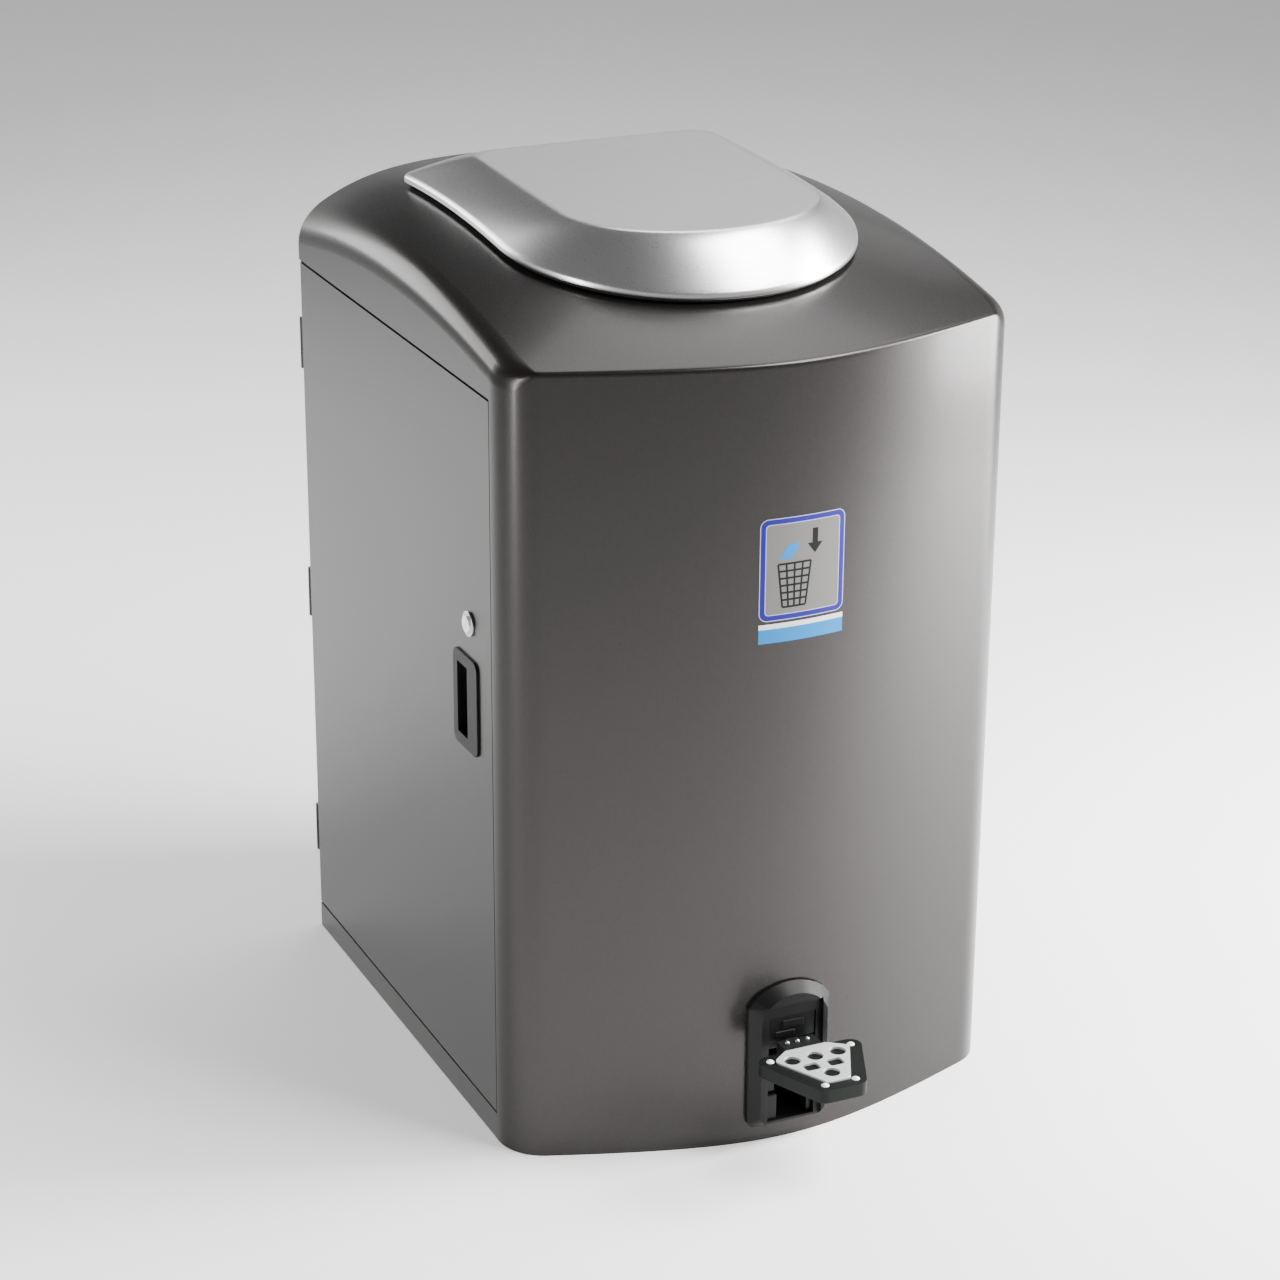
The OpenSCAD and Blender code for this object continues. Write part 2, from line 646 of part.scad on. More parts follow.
module pedal_rivets() {
    color("white") for (p = rivet_spots) translate([p[0], p[1], pedal_h]) {
        rotate_extrude() intersection() {
            translate([0, -3.4]) circle(r = 5.6);
            translate([0, 0.1]) square([6, 6]);
        }
        translate([0, 0, -5.9]) cylinder(r = 2.5, h = 7);
    }
}

// ---------- linkage ----------

shaft_y = 258;
shaft_r = 9;
crank_r = 30;
crank_pin_r = 4;
crank_angle = press_swing / 2;
rod_top_z = press_h - crank_r * sin(crank_angle);
rod_t = 6;
slot_half = 9.3;
slot_half_h = 5.3;
spring_x = 42;
spring_low = 64;
spring_high = 248;
spring_y = rod_y - 2;
spring_r = 9;
spring_turns = 16;
spring_round = 12;
spring_wire = 1.6;
module link_rod() {
    color("silver") difference() {
        union() {
            side_plate([[rod_y - 8, rod_low_z], [rod_y + 8, rod_low_z],
                [rod_y + 8, rod_top_z], [rod_y - 8, rod_top_z]], -rod_t / 2, rod_t);
            translate([-rod_t / 2, rod_y, rod_low_z]) rotate([0, 90, 0]) cylinder(r = 10, h = rod_t);
            side_plate(rounded([[rod_y - 6, rod_top_z - 3], [rod_y + 6, rod_top_z - 3],
                [rod_y + 6, rod_top_z + 3], [rod_y - 6, rod_top_z + 3]], 8), -rod_t / 2, rod_t);
            translate([-rod_t / 2, rod_y - 8, spring_high + 0.2]) cube([52, 12, 5]);
        }
        translate([-10, rod_y, rod_low_z]) rotate([0, 90, 0]) cylinder(r = link_pin_r + 0.05, h = 20);
        side_plate(rounded([[rod_y - slot_half + 5, rod_top_z - 0.3], [rod_y + slot_half - 5, rod_top_z - 0.3],
            [rod_y + slot_half - 5, rod_top_z + 0.3], [rod_y - slot_half + 5, rod_top_z + 0.3]], 5), -10, 20);
        translate([spring_x, spring_y, spring_high - 10]) cylinder(r = 2, h = 30);
    }
}
module link_pin() {
    color("gainsboro") translate([-11, rod_y, rod_low_z]) rotate([0, 90, 0])
        cylinder(r = link_pin_r, h = 22);
}
module return_spring() {
    steps = spring_turns * spring_round;
    sides = 6;
    points = [for (i = [0:steps]) for (k = [0:sides - 1])
        let (a = 360 * i / spring_round, b = 360 * k / sides, r = spring_r + spring_wire * cos(b))
        [r * cos(a), r * sin(a), spring_wire + (spring_high - spring_low - 2 * spring_wire) * i / steps
            + spring_wire * sin(b)]];
    faces = concat(
        [for (i = [0:steps - 1]) for (k = [0:sides - 1])
            let (a = i * sides + k, b = i * sides + (k + 1) % sides)
            for (f = [[a, b, b + sides], [a, b + sides, a + sides]]) f],
        [[for (k = [sides - 1:-1:0]) k], [for (k = [0:sides - 1]) steps * sides + k]]);
    color("silver") translate([spring_x, spring_y, spring_low]) polyhedron(points, faces, convexity = 10);
}
module spring_anchor() {
    color("gray") {
        translate([spring_x - 12, spring_y - 12, sheet + gap]) cube([24, 26, 3]);
        translate([spring_x, spring_y, sheet + gap]) cylinder(r = 4, h = spring_low - sheet - 2 * gap);
        translate([spring_x, spring_y, spring_low - 3.2]) cylinder(r = spring_r + 2, h = 3);
    }
}
module press_crank() {
    color("#444444") for (s = [-1, 1]) translate([s * 6.5 - 2.5, 0, 0]) difference() {
        side_plate(rounded([[shaft_y, press_h], [rod_pin_y, rod_top_z]], 12, 12), 0, 5);
        translate([-5, shaft_y, press_h]) rotate([0, 90, 0]) cylinder(r = shaft_r, h = 20);
        translate([-5, rod_pin_y, rod_top_z]) rotate([0, 90, 0]) cylinder(r = crank_pin_r, h = 20);
    }
}
rod_pin_y = shaft_y + crank_r * cos(crank_angle);
module crank_pin() {
    color("gainsboro") translate([-11, rod_pin_y, rod_top_z]) rotate([0, 90, 0])
        cylinder(r = crank_pin_r, h = 22);
}
module press_shaft() {
    color("silver") translate([-222, shaft_y, press_h]) rotate([0, 90, 0]) cylinder(r = shaft_r, h = 444);
}
arm_x = 150;
arm_t = 6;
plate_back = shaft_y - 40;
plate_low = 45;
plate_high = 372;
module press_arms() {
    color("#555555") for (x = [-arm_x, arm_x]) translate([x - arm_t / 2, 0, 0]) difference() {
        union() {
            translate([0, shaft_y, press_h]) rotate([0, 90, 0]) cylinder(r = 16, h = arm_t);
            side_plate([[shaft_y - 14, press_h], [shaft_y + 14, press_h], [shaft_y + 10, press_h + 70],
                [plate_back + 12, press_h + plate_high - 12], [plate_back, press_h + plate_high - 12],
                [plate_back, press_h + plate_low + 3], [shaft_y - 14, press_h + plate_low + 3]], 0, arm_t);
        }
        translate([-5, shaft_y, press_h]) rotate([0, 90, 0]) cylinder(r = shaft_r, h = 20);
    }
}
plate_half = 180;
plate_t = 3;
module press_plate() {
    color("#8a8a8a") {
        translate([-plate_half, plate_back - plate_t, press_h + plate_low])
            cube([2 * plate_half, plate_t, plate_high - plate_low]);
        for (x = [-90, 0, 90]) translate([x - 12, plate_back, press_h + plate_low + 20])
            cube([24, 10, plate_high - plate_low - 40]);
        for (z = [plate_low, plate_high - 8])
            translate([-arm_x + arm_t, plate_back, press_h + z]) cube([2 * arm_x - 2 * arm_t, 6, 8]);
    }
}
bearing_x = 205;
flange_y = half_d - pan_inside - post_t - 0.1;
module press_bearing_brackets() {
    color("gray") for (s = [-1, 1]) difference() {
        union() {
            side_plate([[shaft_y - 20, press_h - 22], [flange_y, press_h - 34],
                [flange_y, press_h + 34], [shaft_y - 20, press_h + 22]], s * bearing_x - 3, 6);
            translate([min(s * bearing_x, s * (jamb_x - 4)), flange_y - 3.6, press_h - 34])
                cube([jamb_x - 4 - bearing_x, 3.6, 68]);
        }
        translate([-250, shaft_y, press_h]) rotate([0, 90, 0]) cylinder(r = shaft_r + 3, h = 500);
    }
}
module press_bushes() {
    color("goldenrod") for (s = [-1, 1])
        translate([s * bearing_x - 5, shaft_y, press_h]) rotate([0, 90, 0]) difference() {
            cylinder(r = shaft_r + 3, h = 10);
            translate([0, 0, -1]) cylinder(r = shaft_r + 0.05, h = 12);
        }
}
module press_shaft_collars() {
    color("#444444") for (s = [-1, 1])
        translate([s * (bearing_x + 10.5) - 4, shaft_y, press_h]) rotate([0, 90, 0]) difference() {
            cylinder(r = 15, h = 8);
            translate([0, 0, -1]) cylinder(r = shaft_r, h = 10);
        }
}

// ---------- bin and its support ----------

shelf_z = 134;
shelf_t = 3;
bin_half = 200;
bin_front = -225;
bin_rear = 224;
bin_h = 375;
shelf_left = -half_w + 32;
shelf_right = half_w - 11;
shelf_front = -268;
shelf_rear = 232;
leg_half = 230;
module bin_shelf() {
    color("gray") difference() {
        union() {
            translate([shelf_left, shelf_front, shelf_z - shelf_t])
                cube([shelf_right - shelf_left, shelf_rear - shelf_front, shelf_t]);
            for (y = [shelf_front, shelf_rear - shelf_t]) translate([shelf_left + 32, y, shelf_z - 24])
                cube([shelf_right - shelf_left - 64, shelf_t, 22]);
            for (x = [shelf_left, shelf_right - shelf_t]) translate([x, -leg_half, sheet + gap])
                cube([shelf_t, 2 * leg_half, shelf_z - sheet - gap - 1]);
        }
        for (y = [shelf_front, shelf_rear]) translate([-20, y - 20, shelf_z - 30]) cube([40, 40, 26.9]);
        for (x = [shelf_left, shelf_right]) translate([x - 31, shelf_front - 1, shelf_z - 30])
            cube([62, 38, 60]);
    }
}
module bin_guides() {
    color("#303030") for (y = [bin_front - 9, bin_rear + 1])
        translate([-half_w + 64, y, shelf_z + gap]) cube([cabinet_w - 120, 8, 14]);
}
module waste_bin() {
    color("#3f4a45") difference() {
        translate([0, 0, shelf_z + gap + 0.2]) union() {
            translate([0, (bin_front + bin_rear) / 2, 0])
                linear_extrude(bin_h) polygon(rounded(box_centres(2 * bin_half, bin_rear - bin_front, 22), 22));
            translate([0, (bin_front + bin_rear - 5) / 2, bin_h - 12])
                linear_extrude(12) polygon(rounded(box_centres(2 * bin_half + 16, bin_rear - bin_front - 5, 24), 24));
        }
        translate([0, (bin_front + bin_rear) / 2, shelf_z + 4])
            linear_extrude(bin_h + 10)
                polygon(rounded(box_centres(2 * bin_half - 6, bin_rear - bin_front - 6, 19), 19));
    }
}
module bin_handle() {
    color("#202020") translate([-bin_half - 0.2, (bin_front + bin_rear) / 2, shelf_z + 300]) difference() {
        translate([-16, -60, -10]) cube([16, 120, 22]);
        translate([-11, -52, -11]) cube([12, 104, 24]);
    }
}

// ---------- trim ----------

label_x = 5;
label_w = 97;
label_low = 582;
label_high = 717;
label_steps = 8;
function label_edge(inset) =
    [for (i = [0:label_steps]) nose_point(label_x + label_w * (i / label_steps - 0.5), inset)];
module front_label() {
    color("royalblue") translate([0, 0, label_low]) linear_extrude(label_high - label_low)
        polygon(concat(label_edge(-0.5),
            [for (i = [label_steps:-1:0]) label_edge(-0.1)[i]]));
}
screw_r = 3.5;
module panel_screws() {
    color("silver") for (x = [-225, -90, 90, 250]) for (z = [60, 330, 620, 800])
        translate([x, half_d + 0.05, z]) rotate([-90, 0, 0]) cylinder(r = screw_r, h = 1.8);
}

base_pan();
door_sill();
front_panel();
right_side_panel();
rear_panel();
top_cover();
front_posts();
rear_posts();
upper_frame();
bin_shelf();
bin_guides();
inlet_collar();
lid_shell();
lid_inner_pan();
lid_seal();
lid_hinge_brackets();
lid_hinge_arms();
lid_hinge_pins();
door_panel();
door_inner_pan();
door_hinge_leaves();
cabinet_hinge_leaves();
door_hinge_pins();
door_handle();
lock_escutcheon();
lock_barrel();
lock_cam();
pedal_surround();
pedal_lever();
pedal_base();
pedal_tread_plate();
pedal_rivets();
pedal_pivot_brackets();
pedal_pivot_pin();
pedal_bush();
link_rod();
link_pin();
return_spring();
spring_anchor();
press_shaft();
press_crank();
crank_pin();
press_arms();
press_plate();
press_bearing_brackets();
press_bushes();
press_shaft_collars();
waste_bin();
bin_handle();
front_label();
panel_screws();
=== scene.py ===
import json
import math

import bmesh
import bpy
from mathutils import Matrix, Vector

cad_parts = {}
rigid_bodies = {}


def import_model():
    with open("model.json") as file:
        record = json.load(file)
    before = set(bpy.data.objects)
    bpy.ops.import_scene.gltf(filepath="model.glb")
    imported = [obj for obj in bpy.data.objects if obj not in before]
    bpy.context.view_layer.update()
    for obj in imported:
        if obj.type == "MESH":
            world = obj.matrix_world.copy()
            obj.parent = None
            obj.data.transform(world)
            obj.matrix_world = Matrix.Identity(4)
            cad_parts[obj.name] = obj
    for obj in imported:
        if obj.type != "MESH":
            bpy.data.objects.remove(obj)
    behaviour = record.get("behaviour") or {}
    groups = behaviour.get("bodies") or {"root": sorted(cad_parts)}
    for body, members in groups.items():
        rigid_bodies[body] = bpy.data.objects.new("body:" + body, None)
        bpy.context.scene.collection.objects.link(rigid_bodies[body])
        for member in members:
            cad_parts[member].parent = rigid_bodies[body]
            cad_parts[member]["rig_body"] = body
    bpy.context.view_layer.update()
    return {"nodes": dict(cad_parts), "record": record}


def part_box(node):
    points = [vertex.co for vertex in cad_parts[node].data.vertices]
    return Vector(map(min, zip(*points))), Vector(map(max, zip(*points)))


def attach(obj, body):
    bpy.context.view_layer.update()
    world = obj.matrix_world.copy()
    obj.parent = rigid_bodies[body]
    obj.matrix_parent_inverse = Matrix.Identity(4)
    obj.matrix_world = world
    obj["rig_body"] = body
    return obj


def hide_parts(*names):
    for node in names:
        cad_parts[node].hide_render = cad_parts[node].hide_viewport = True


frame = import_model()

# ---------- sizes, in metres, from the frame and a few driving dimensions ----------

NOSE_BEND = 0.147
CORNER_R = 0.054
SIDE_ARCH = 0.032
REAR_CROWN = 0.059
REAR_RISE = 0.006
FRONT_EDGE_Z = 0.880
SHEET = 0.002

panel_low, panel_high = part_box("front_panel")
HALF_W = panel_high.x
NOSE_Y = panel_low.y
SEAM_Z = panel_high.z
RETURN_Y = panel_high.y
HALF_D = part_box("top_cover")[1].y
FRONT_BOW = -HALF_D - NOSE_Y

SLOT_OF = {s["node"]: s["material_slot"] for s in frame["record"]["subparts"]}
BODY_OF = {n: o["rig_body"] for n, o in frame["nodes"].items()}


def bow(x):
    return math.hypot(NOSE_BEND, x) - NOSE_BEND


def front_y(x):
    return -HALF_D - FRONT_BOW * (1 - bow(min(abs(x), HALF_W)) / bow(HALF_W))


def lean(x):
    """Angle of the bowed front's outward normal from -Y at x."""
    return math.atan(FRONT_BOW * abs(x) / math.hypot(NOSE_BEND, x) / bow(HALF_W))


CORNER_LEAN = lean(HALF_W - CORNER_R / 2)
TANGENT_X = HALF_W - CORNER_R * (1 - math.sin(CORNER_LEAN))
CORNER_Y = front_y(TANGENT_X) + CORNER_R * math.cos(CORNER_LEAN)


def dome_z(x, y):
    t = max(0.0, (y - front_y(x)) / (HALF_D - front_y(x)))
    crown = REAR_CROWN * (1 - (abs(x) / HALF_W) ** 4)
    return FRONT_EDGE_Z + REAR_RISE * t + 4 * SIDE_ARCH * t * (1 - t) + crown * t


def on_front(x, z, lift):
    """A point on the bowed front at x and height z, lifted off the sheet."""
    a = math.copysign(lean(x), x)
    return Vector((x + lift * math.sin(a), front_y(x) - lift * math.cos(a), z))


# ---------- materials ----------


def linear(rgb):
    """sRGB values of 0 to 255 as linear colour."""
    return tuple((c / 255 / 12.92 if c < 11 else ((c / 255 + 0.055) / 1.055) ** 2.4) for c in rgb)


def material(name, rgb, rough, metal=0.0, coat=0.0, grain=400.0, bump=0.02, stretch=(1, 1, 1),
             tone=0.06, rough_spread=0.06, wear=0.0, speckle=0.0, gloss=0.5):
    """A procedural finish: colour that drifts a little, fine grain in roughness and bump, worn edges."""
    mat = bpy.data.materials.new(name)
    mat.use_nodes = True
    nodes, links = mat.node_tree.nodes, mat.node_tree.links
    shader = nodes["Principled BSDF"]
    shader.inputs["Metallic"].default_value = metal
    shader.inputs["Coat Weight"].default_value = coat
    shader.inputs["Coat Roughness"].default_value = 0.12
    shader.inputs["Specular IOR Level"].default_value = gloss
    coords = nodes.new("ShaderNodeTexCoord")
    mapping = nodes.new("ShaderNodeMapping")
    mapping.inputs["Scale"].default_value = stretch
    links.new(coords.outputs["Object"], mapping.inputs["Vector"])
    fine = nodes.new("ShaderNodeTexNoise")
    fine.inputs["Scale"].default_value = grain
    fine.inputs["Detail"].default_value = 4
    fine.inputs["Roughness"].default_value = 0.6
    links.new(mapping.outputs["Vector"], fine.inputs["Vector"])
    broad = nodes.new("ShaderNodeTexNoise")
    broad.inputs["Scale"].default_value = 5
    broad.inputs["Detail"].default_value = 3
    links.new(coords.outputs["Object"], broad.inputs["Vector"])
    colour = linear(rgb)
    ramp = nodes.new("ShaderNodeValToRGB")
    ramp.color_ramp.elements[0].position = 0.3
    ramp.color_ramp.elements[1].position = 0.7
    ramp.color_ramp.elements[0].color = (*(c * (1 - tone) for c in colour), 1)
    ramp.color_ramp.elements[1].color = (*(min(1, c * (1 + tone)) for c in colour), 1)
    links.new(broad.outputs["Fac"], ramp.inputs["Fac"])
    out = ramp.outputs["Color"]
    if speckle:
        out = flecked(nodes, links, out, fine.outputs["Fac"], colour, speckle)
    if wear:
        out = worn(nodes, links, out, colour, wear)
    links.new(out, shader.inputs["Base Color"])
    spread = nodes.new("ShaderNodeMapRange")
    spread.inputs["From Min"].default_value = 0.3
    spread.inputs["From Max"].default_value = 0.7
    spread.inputs["To Min"].default_value = rough - rough_spread
    spread.inputs["To Max"].default_value = rough + rough_spread
    links.new(fine.outputs["Fac"], spread.inputs["Value"])
    links.new(spread.outputs["Result"], shader.inputs["Roughness"])
    if bump:
        relief = nodes.new("ShaderNodeBump")
        relief.inputs["Strength"].default_value = bump
        relief.inputs["Distance"].default_value = 0.0006
        links.new(fine.outputs["Fac"], relief.inputs["Height"])
        links.new(relief.outputs["Normal"], shader.inputs["Normal"])
    return mat


def flecked(nodes, links, base, factor, colour, amount):
    """Scatters small lighter flecks over a colour, as metallic paint has."""
    flecks = nodes.new("ShaderNodeMapRange")
    flecks.inputs["From Min"].default_value = 0.58
    flecks.inputs["From Max"].default_value = 0.75
    flecks.inputs["To Max"].default_value = amount
    links.new(factor, flecks.inputs["Value"])
    mix = nodes.new("ShaderNodeMix")
    mix.data_type = "RGBA"
    mix.inputs["B"].default_value = (*(min(1, c * 2.2 + 0.03) for c in colour), 1)
    links.new(flecks.outputs["Result"], mix.inputs["Factor"])
    links.new(base, mix.inputs["A"])
    return mix.outputs["Result"]


def worn(nodes, links, base, colour, amount):
    """Lightens the outer edges, where hands and shoes rub."""
    geometry = nodes.new("ShaderNodeNewGeometry")
    edge = nodes.new("ShaderNodeMapRange")
    edge.inputs["From Min"].default_value = 0.52
    edge.inputs["From Max"].default_value = 0.62
    edge.inputs["To Max"].default_value = amount
    links.new(geometry.outputs["Pointiness"], edge.inputs["Value"])
    mix = nodes.new("ShaderNodeMix")
    mix.data_type = "RGBA"
    mix.inputs["B"].default_value = (*(min(1, c * 1.6 + 0.02) for c in colour), 1)
    links.new(edge.outputs["Result"], mix.inputs["Factor"])
    links.new(base, mix.inputs["A"])
    return mix.outputs["Result"]


FINISH = {
    "cabinet_paint": material("cabinet_paint", (50, 48, 47), 0.29, metal=0.85, coat=0.15, grain=900,
                              bump=0.02, tone=0.02, rough_spread=0.03, speckle=0.2),
    "frame_steel": material("frame_steel", (120, 122, 124), 0.5, metal=0.5, bump=0.06, grain=700),
    "lid_steel": material("lid_steel", (214, 214, 214), 0.3, metal=1.0, grain=260, bump=0.012,
                          stretch=(0.12, 5, 5), tone=0.015, rough_spread=0.04),
    "bright_steel": material("bright_steel", (190, 191, 192), 0.28, metal=1.0, grain=500,
                             bump=0.004, stretch=(1, 1, 0.4), tone=0.03, rough_spread=0.025),
    "lock_white": material("lock_white", (246, 246, 244), 0.25, metal=0.35, coat=0.5, grain=300,
                           bump=0.01, tone=0.01, rough_spread=0.03),
    "dark_steel": material("dark_steel", (44, 44, 43), 0.42, metal=0.3, bump=0.08, wear=0.4),
    "black_plastic": material("black_plastic", (12, 13, 12), 0.4, grain=1500, bump=0.1,
                              tone=0.12, wear=0.2, gloss=0.16),
    "pedal_rubber": material("pedal_rubber", (12, 15, 13), 0.5, grain=1200, bump=0.16, tone=0.15,
                             wear=0.2, gloss=0.14),
    "seal_rubber": material("seal_rubber", (14, 14, 14), 0.7, grain=900, bump=0.1, tone=0.2),
    "tread_aluminium": material("tread_aluminium", (236, 237, 238), 0.32, metal=0.55, grain=160,
                                bump=0.04, stretch=(1, 6, 1), tone=0.03),
    "rivet_white": material("rivet_white", (240, 240, 238), 0.3, coat=0.3, grain=600, bump=0.02,
                            tone=0.02),
    "bush_bronze": material("bush_bronze", (172, 128, 72), 0.4, metal=0.9, grain=1400, bump=0.12),
    "bin_plastic": material("bin_plastic", (62, 72, 68), 0.48, grain=1100, bump=0.12, tone=0.08,
                            wear=0.25),
    "label_film": material("label_film", (104, 103, 101), 0.4, metal=0.2, gloss=0.3, grain=700,
                           bump=0.02, tone=0.03),
}
PRINT = [
    FINISH["label_film"],
    material("print_blue", (34, 26, 122), 0.45, gloss=0.15, grain=800, bump=0.02, tone=0.05),
    material("print_pale", (170, 170, 210), 0.45, gloss=0.15, grain=800, bump=0.02, tone=0.03),
    material("print_black", (18, 18, 18), 0.45, gloss=0.15, grain=800, bump=0.02, tone=0.08),
    material("print_cyan", (10, 118, 182), 0.45, gloss=0.15, grain=800, bump=0.02, tone=0.04),
    material("print_white", (214, 220, 214), 0.45, gloss=0.15, grain=800, bump=0.02, tone=0.02),
]
FILM, BLUE, PALE, BLACK, CYAN, WHITE = range(6)

# ---------- making pieces ----------


def piece(name, bm, body, slot, nodes=(), sharp=32, bevel=0.0, segments=2):
    """Turns a bmesh into a smooth-shaded piece that rides on a body and stands for CAD nodes."""
    bmesh.ops.recalc_face_normals(bm, faces=bm.faces)
    for face in bm.faces:
        face.smooth = True
    limit = math.radians(sharp)
    for edge in bm.edges:
        if len(edge.link_faces) == 2:
            edge.smooth = edge.calc_face_angle(0) < limit
        else:
            edge.smooth = False
    mesh = bpy.data.meshes.new(name)
    bm.to_mesh(mesh)
    bm.free()
    mesh.materials.append(FINISH[slot])
    obj = bpy.data.objects.new(name, mesh)
    bpy.context.scene.collection.objects.link(obj)
    if bevel:
        round_edges(obj, bevel, segments)
    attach(obj, body)
    if nodes:
        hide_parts(*nodes)
    return obj


def thicken(obj, thickness):
    """Gives a sheet its thickness, inwards from its outer face."""
    mod = obj.modifiers.new("sheet", "SOLIDIFY")
    mod.thickness = thickness
    mod.offset = -1


def round_edges(obj, width, segments):
    """Rounds the edges that turn by more than a shallow angle."""
    mod = obj.modifiers.new("edges", "BEVEL")
    mod.width = width
    mod.segments = segments
    mod.limit_method = "ANGLE"
    mod.angle_limit = math.radians(38)
    mod.harden_normals = True


def refined(node, bevel, segments=2):
    """The CAD node again with rounded edges: same faces and places, finer surface."""
    source = frame["nodes"][node].data
    mesh = bpy.data.meshes.new("plain")
    mesh.from_pydata([v.co for v in source.vertices], [], [p.vertices for p in source.polygons])
    bm = bmesh.new()
    bm.from_mesh(mesh)
    bpy.data.meshes.remove(mesh)
    bmesh.ops.remove_doubles(bm, verts=bm.verts, dist=1e-6)
    bmesh.ops.dissolve_limit(bm, angle_limit=math.radians(0.6), verts=bm.verts, edges=bm.edges)
    piece(node + "_look", bm, BODY_OF[node], SLOT_OF[node], [node], bevel=bevel, segments=segments)


def add_loops(bm, loops):
    """Closed rows of points joined by quads. Returns the rows of vertices."""
    rows = [[bm.verts.new(p) for p in loop] for loop in loops]
    for low, high in zip(rows, rows[1:]):
        n = len(low)
        for i in range(n):
            j = (i + 1) % n
            bm.faces.new((low[i], low[j], high[j], high[i]))
    return rows


def add_bar(bm, low, high):
    """A block between two corners."""
    size = Vector(high) - Vector(low)
    centre = (Vector(high) + Vector(low)) / 2
    place = Matrix.Translation(centre) @ Matrix.Diagonal((*size, 1))
    bmesh.ops.create_cube(bm, size=1, matrix=place)


# ---------- front panel and top cover ----------

SLOT_HALF = 0.030
SLOT_LOW = 0.026
SLOT_HIGH = 0.157
FRONT_STEPS = 72
CORNER_STEPS = 10
SIDE_FILLET = 0.026
FRONT_FILLET = 0.0045
FILLET_STEPS = 7
COVER_ROWS = 40
COVER_T = 0.003
SUPPORT = 0.0012


def outline_samples():
    """(x, y, outward normal, share of the side fillet) along the left corner, front and right corner."""
    left = []
    for k in range(CORNER_STEPS):
        a = math.pi + (math.pi / 2 - CORNER_LEAN) * k / CORNER_STEPS
        normal = Vector((math.cos(a), math.sin(a)))
        spot = Vector((CORNER_R - HALF_W, CORNER_Y)) + CORNER_R * normal
        share = 1 - min(1, 1 / math.cos(a - math.pi) - 1)
        left.append((spot.x, spot.y, normal, share))
    front = []
    for k in range(FRONT_STEPS + 1):
        x = TANGENT_X * (2 * k / FRONT_STEPS - 1)
        a = math.copysign(lean(x), x)
        front.append((x, front_y(x), Vector((math.sin(a), -math.cos(a))), 0))
    right = [(-x, y, Vector((-n.x, n.y)), s) for x, y, n, s in reversed(left)]
    return left + front + right


OUTLINE = outline_samples()


def front_panel():
    """The bowed sheet with its two returns, and the slot for the pedal lever."""
    bm = bmesh.new()
    heights = [0, SLOT_LOW, SLOT_HIGH, 0.3, 0.45, 0.6, 0.75, SEAM_Z]
    across = [(-HALF_W, RETURN_Y)] + [s[:2] for s in OUTLINE] + [(HALF_W, RETURN_Y)]
    rows = [[bm.verts.new((x, y, z)) for x, y in across] for z in heights]
    for r in range(len(heights) - 1):
        for i in range(len(across) - 1):
            middle = (across[i][0] + across[i + 1][0]) / 2
            if heights[r] == SLOT_LOW and abs(middle) < SLOT_HALF:
                continue
            bm.faces.new((rows[r][i], rows[r][i + 1], rows[r + 1][i + 1], rows[r + 1][i]))
    thicken(piece("front_panel_skin", bm, "cabinet", "cabinet_paint", ["front_panel"], sharp=50), SHEET)


def cover_edge(x, y, normal, radius):
    """Rounded edge from the wall up to the dome, as a curve that leaves both smoothly."""
    inner = Vector((x, y)) - radius * normal
    wall = Vector((x, y, dome_z(x, y) - radius))
    corner = Vector((x, y, dome_z(x, y)))
    top = Vector((inner.x, inner.y, dome_z(*inner)))
    curve = [wall - Vector((0, 0, SUPPORT))]
    for k in range(FILLET_STEPS + 1):
        s = k / FILLET_STEPS
        curve.append(wall * (1 - s) ** 2 + corner * (2 * s * (1 - s)) + top * s * s)
    return curve


def row_share(k):
    """Rows of the dome from the front to the rear: the first one is narrow, to hold the edge."""
    return 0.004 if k == 1 else (k - 1) / (COVER_ROWS - 1)


def cover_sides():
    """The straight left and right rims behind the corners, as samples like those of the outline."""
    left = []
    for k in range(COVER_ROWS, 0, -1):
        y = CORNER_Y + (HALF_D - CORNER_Y) * row_share(k)
        left.append((-HALF_W, y, Vector((-1, 0)), 1))
    right = [(-x, y, -n, s) for x, y, n, s in reversed(left)]
    return left, right


def top_cover():
    """Each sample of the rim gets a wall and a rounded edge, and the dome fills the middle."""
    bm = bmesh.new()
    left, right = cover_sides()
    rim = left + OUTLINE + right
    walls = []
    for x, y, normal, share in rim:
        radius = FRONT_FILLET + (SIDE_FILLET - FRONT_FILLET) * share
        foot = Vector((x, y, SEAM_Z))
        walls.append([bm.verts.new(p) for p in [foot] + cover_edge(x, y, normal, radius)])
    for a, b in zip(walls, walls[1:]):
        for k in range(len(a) - 1):
            bm.faces.new((a[k], b[k], b[k + 1], a[k + 1]))
    # The dome: each front sample runs back to the rear edge beside the left and right rims.
    grid = [[walls[i][-1] for i in range(len(left), -1, -1)]]
    for wall in walls[len(left) + 1:len(left) + len(OUTLINE) - 1]:
        start = wall[-1].co
        line = [wall[-1]]
        for k in range(1, COVER_ROWS + 1):
            y = start.y + (HALF_D - start.y) * row_share(k)
            line.append(bm.verts.new((start.x, y, dome_z(start.x, y))))
        grid.append(line)
    grid.append([walls[i][-1] for i in range(len(left) + len(OUTLINE) - 1, len(rim))])
    for a, b in zip(grid, grid[1:]):
        for k in range(COVER_ROWS):
            bm.faces.new((a[k], b[k], b[k + 1], a[k + 1]))
    bm.faces.new(walls[0] + [line[-1] for line in grid[1:-1]] + list(reversed(walls[-1])))
    cut_inlet(bm)
    thicken(piece("top_cover_skin", bm, "cabinet", "cabinet_paint", ["top_cover"], sharp=50), COVER_T)


INLET = (0.172, 0.180, -0.054, 0.185)


